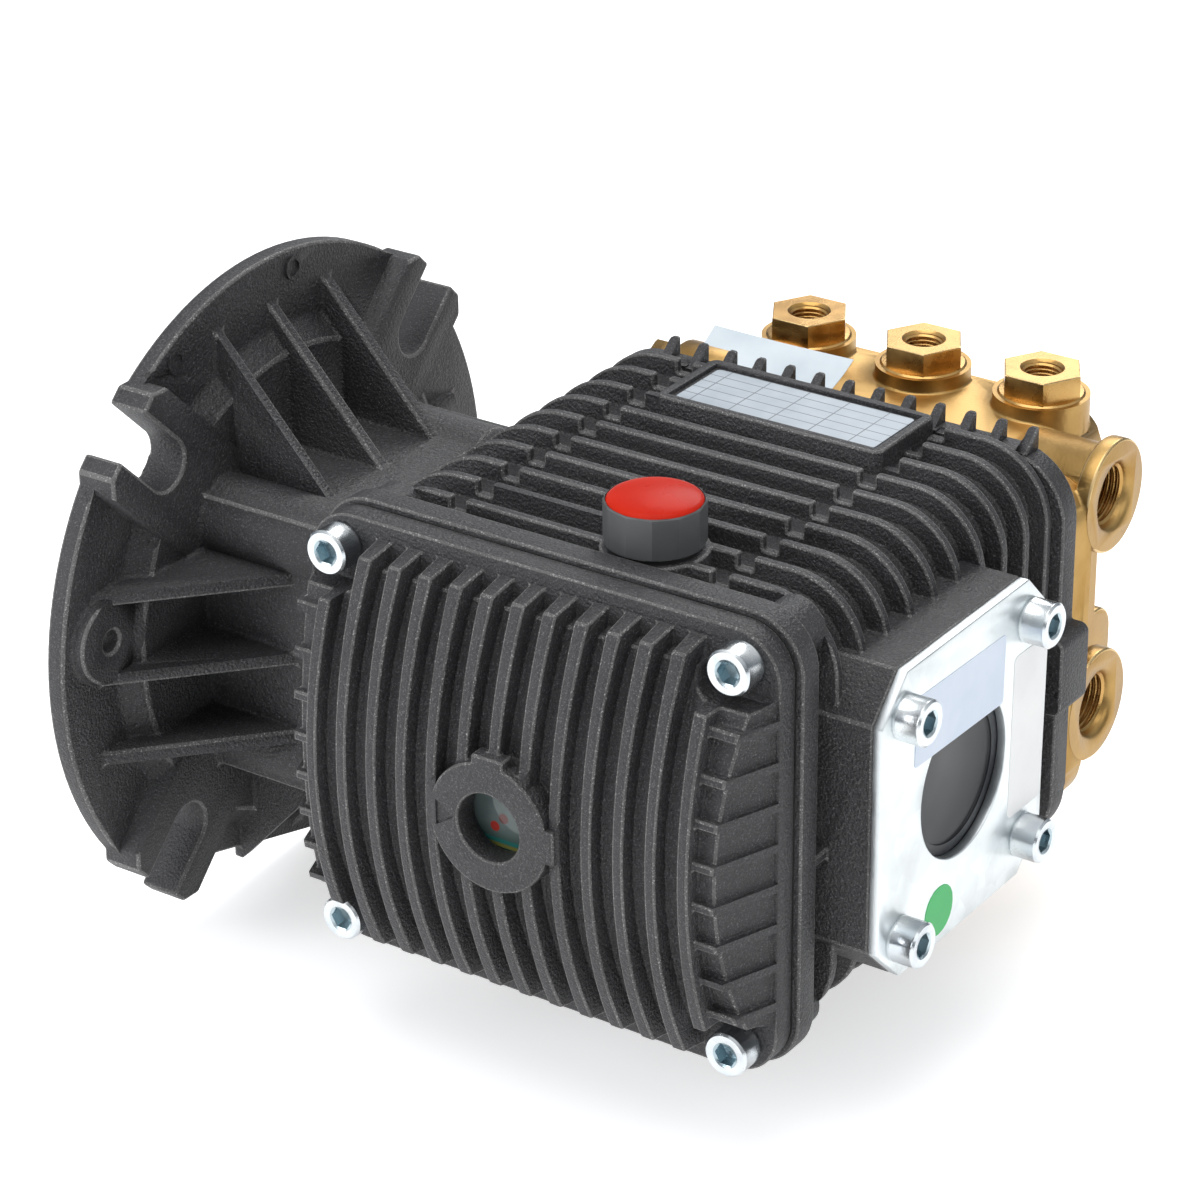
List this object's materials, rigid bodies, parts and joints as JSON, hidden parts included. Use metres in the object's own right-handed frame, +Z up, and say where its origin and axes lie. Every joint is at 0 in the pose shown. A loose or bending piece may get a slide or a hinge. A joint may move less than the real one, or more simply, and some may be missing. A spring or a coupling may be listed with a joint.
{
  "type": "pressure washer pump",
  "caption": "Plunger pump with a finned black crankcase, a round engine flange, a ribbed rear cover with a sight glass, and a brass valve head with side ports.",
  "frame": {"origin": "centre of the engine flange's mounting face, on the crankshaft's axis", "axes": "+X along the crankshaft into the pump, +Y from the rear cover to the brass head, +Z up"},
  "size_m": [0.246, 0.258, 0.1963],
  "materials": {
    "black_casting": "black painted sand-cast grain, worn a little grey on the crests",
    "zinc_steel": "bright zinc plating",
    "galvanised_plate": "pale galvanised sheet",
    "brass": "machined and blasted forged brass",
    "brass_cap": "machined brass",
    "red_disc": "glossy red",
    "grey_cap": "dark grey moulded",
    "black_rubber": "matt black",
    "sight_glass": "clear with a grey-green cast",
    "sight_back": "white moulded",
    "ground_steel": "ground",
    "bearing_steel": "polished",
    "rod_aluminium": "cast, machined faces",
    "forged_steel": "dark forged, ground journals",
    "white_ceramic": "polished white ceramic",
    "seal_green": "dark green",
    "packing_fabric": "brown fabric-filled rubber",
    "spring_steel": "bright spring wire",
    "valve_plastic": "black moulded"
  },
  "bodies": {
    "pump_body": {"engine_flange": "black_casting", "flange_screws": "zinc_steel", "crankcase": "black_casting", "rear_cover": "black_casting", "rear_cover_gasket": "black_rubber", "rear_cover_screws": "zinc_steel", "sight_glass_lens": "sight_glass", "sight_glass_reflector": "sight_back", "bearing_plate": "galvanised_plate", "bearing_plate_screws": "zinc_steel", "bearing_end_cap": "black_rubber", "shaft_oil_seal": "seal_green", "bearing_outer_rings": "bearing_steel", "crosshead_oil_seals": "seal_green", "low_pressure_seals": "black_rubber", "packing_rings": "brass", "high_pressure_packings": "packing_fabric", "manifold": "brass", "manifold_screws": "zinc_steel", "gallery_plugs": "brass_cap", "plug_washers": "ground_steel", "valve_seats": "ground_steel", "valve_cages": "valve_plastic", "outlet_valve_caps": "brass_cap", "inlet_valve_caps": "brass_cap", "o_rings": "black_rubber", "drain_plug": "zinc_steel", "outlet_spring_1": "spring_steel", "outlet_spring_2": "spring_steel", "outlet_spring_3": "spring_steel", "inlet_spring_1": "spring_steel", "inlet_spring_2": "spring_steel", "inlet_spring_3": "spring_steel"},
    "crankshaft": {"crankshaft": "forged_steel", "bearing_inner_rings": "bearing_steel"},
    "ball_cages": {"bearing_balls": "bearing_steel"},
    "rod_1": {"conrod_1": "rod_aluminium", "conrod_cap_1": "rod_aluminium"},
    "rod_2": {"conrod_2": "rod_aluminium", "conrod_cap_2": "rod_aluminium"},
    "rod_3": {"conrod_3": "rod_aluminium", "conrod_cap_3": "rod_aluminium"},
    "plunger_1": {"crosshead_1": "ground_steel", "wrist_pin_1": "ground_steel", "ceramic_plunger_1": "white_ceramic"},
    "plunger_2": {"crosshead_2": "ground_steel", "wrist_pin_2": "ground_steel", "ceramic_plunger_2": "white_ceramic"},
    "plunger_3": {"crosshead_3": "ground_steel", "wrist_pin_3": "ground_steel", "ceramic_plunger_3": "white_ceramic"},
    "filler_gasket": {"filler_gasket": "black_rubber"},
    "filler_cap": {"filler_cap": "grey_cap", "filler_cap_disc": "red_disc"},
    "outlet_valve_1": {"outlet_valve_1": "ground_steel"},
    "outlet_valve_2": {"outlet_valve_2": "ground_steel"},
    "outlet_valve_3": {"outlet_valve_3": "ground_steel"},
    "inlet_valve_1": {"inlet_valve_1": "ground_steel"},
    "inlet_valve_2": {"inlet_valve_2": "ground_steel"},
    "inlet_valve_3": {"inlet_valve_3": "ground_steel"}
  },
  "joints": [
    {"name": "crank_turn", "type": "hinge", "parent": "pump_body", "child": "crankshaft", "pos_m": [0, 0, 0], "axis": [1, 0, 0], "continuous": true},
    {"name": "cage_turn", "type": "hinge", "parent": "pump_body", "child": "ball_cages", "pos_m": [0, 0, 0], "axis": [1, 0, 0], "continuous": true},
    {"name": "rod_1_turn", "type": "hinge", "parent": "crankshaft", "child": "rod_1", "pos_m": [0.107, 0, 0.0024], "axis": [1, 0, 0], "continuous": true},
    {"name": "rod_2_turn", "type": "hinge", "parent": "crankshaft", "child": "rod_2", "pos_m": [0.147, -0.00208, -0.0012], "axis": [1, 0, 0], "continuous": true},
    {"name": "rod_3_turn", "type": "hinge", "parent": "crankshaft", "child": "rod_3", "pos_m": [0.187, 0.00208, -0.0012], "axis": [1, 0, 0], "continuous": true},
    {"name": "plunger_1_slide", "type": "slide", "parent": "pump_body", "child": "plunger_1", "axis": [0, 1, 0], "range_m": [-0.0024, 0.0024]},
    {"name": "plunger_2_slide", "type": "slide", "parent": "pump_body", "child": "plunger_2", "axis": [0, 1, 0], "range_m": [-0.00032, 0.00448]},
    {"name": "plunger_3_slide", "type": "slide", "parent": "pump_body", "child": "plunger_3", "axis": [0, 1, 0], "range_m": [-0.00448, 0.00032]},
    {"name": "filler_turn", "type": "hinge", "parent": "pump_body", "child": "filler_gasket", "pos_m": [0.1627, -0.0368, 0.066], "axis": [0, 0, 1], "range_deg": [0, 2880]},
    {"name": "filler_rise", "type": "slide", "parent": "filler_gasket", "child": "filler_cap", "axis": [0, 0, 1], "range_m": [0, 0.012]},
    {"name": "outlet_valve_1_lift", "type": "slide", "parent": "pump_body", "child": "outlet_valve_1", "axis": [0, 0, 1], "range_m": [0, 0.0018], "stiffness_N_per_m": 300, "springref_m": -0.002, "deforming": ["outlet_spring_1"]},
    {"name": "outlet_valve_2_lift", "type": "slide", "parent": "pump_body", "child": "outlet_valve_2", "axis": [0, 0, 1], "range_m": [0, 0.0018], "stiffness_N_per_m": 300, "springref_m": -0.002, "deforming": ["outlet_spring_2"]},
    {"name": "outlet_valve_3_lift", "type": "slide", "parent": "pump_body", "child": "outlet_valve_3", "axis": [0, 0, 1], "range_m": [0, 0.0018], "stiffness_N_per_m": 300, "springref_m": -0.002, "deforming": ["outlet_spring_3"]},
    {"name": "inlet_valve_1_lift", "type": "slide", "parent": "pump_body", "child": "inlet_valve_1", "axis": [0, 0, 1], "range_m": [0, 0.0018], "stiffness_N_per_m": 300, "springref_m": -0.002, "deforming": ["inlet_spring_1"]},
    {"name": "inlet_valve_2_lift", "type": "slide", "parent": "pump_body", "child": "inlet_valve_2", "axis": [0, 0, 1], "range_m": [0, 0.0018], "stiffness_N_per_m": 300, "springref_m": -0.002, "deforming": ["inlet_spring_2"]},
    {"name": "inlet_valve_3_lift", "type": "slide", "parent": "pump_body", "child": "inlet_valve_3", "axis": [0, 0, 1], "range_m": [0, 0.0018], "stiffness_N_per_m": 300, "springref_m": -0.002, "deforming": ["inlet_spring_3"]}
  ],
  "couplings": [
    {"joint": "cage_turn", "follows": "crank_turn", "ratio": 0.39758},
    {"joint": "rod_1_turn", "follows": "crank_turn", "ratio": -1},
    {"joint": "rod_2_turn", "follows": "crank_turn", "ratio": -1},
    {"joint": "rod_3_turn", "follows": "crank_turn", "ratio": -1},
    {"joint": "filler_turn", "follows": "filler_rise", "rad_per_m": 4188.8}
  ]
}
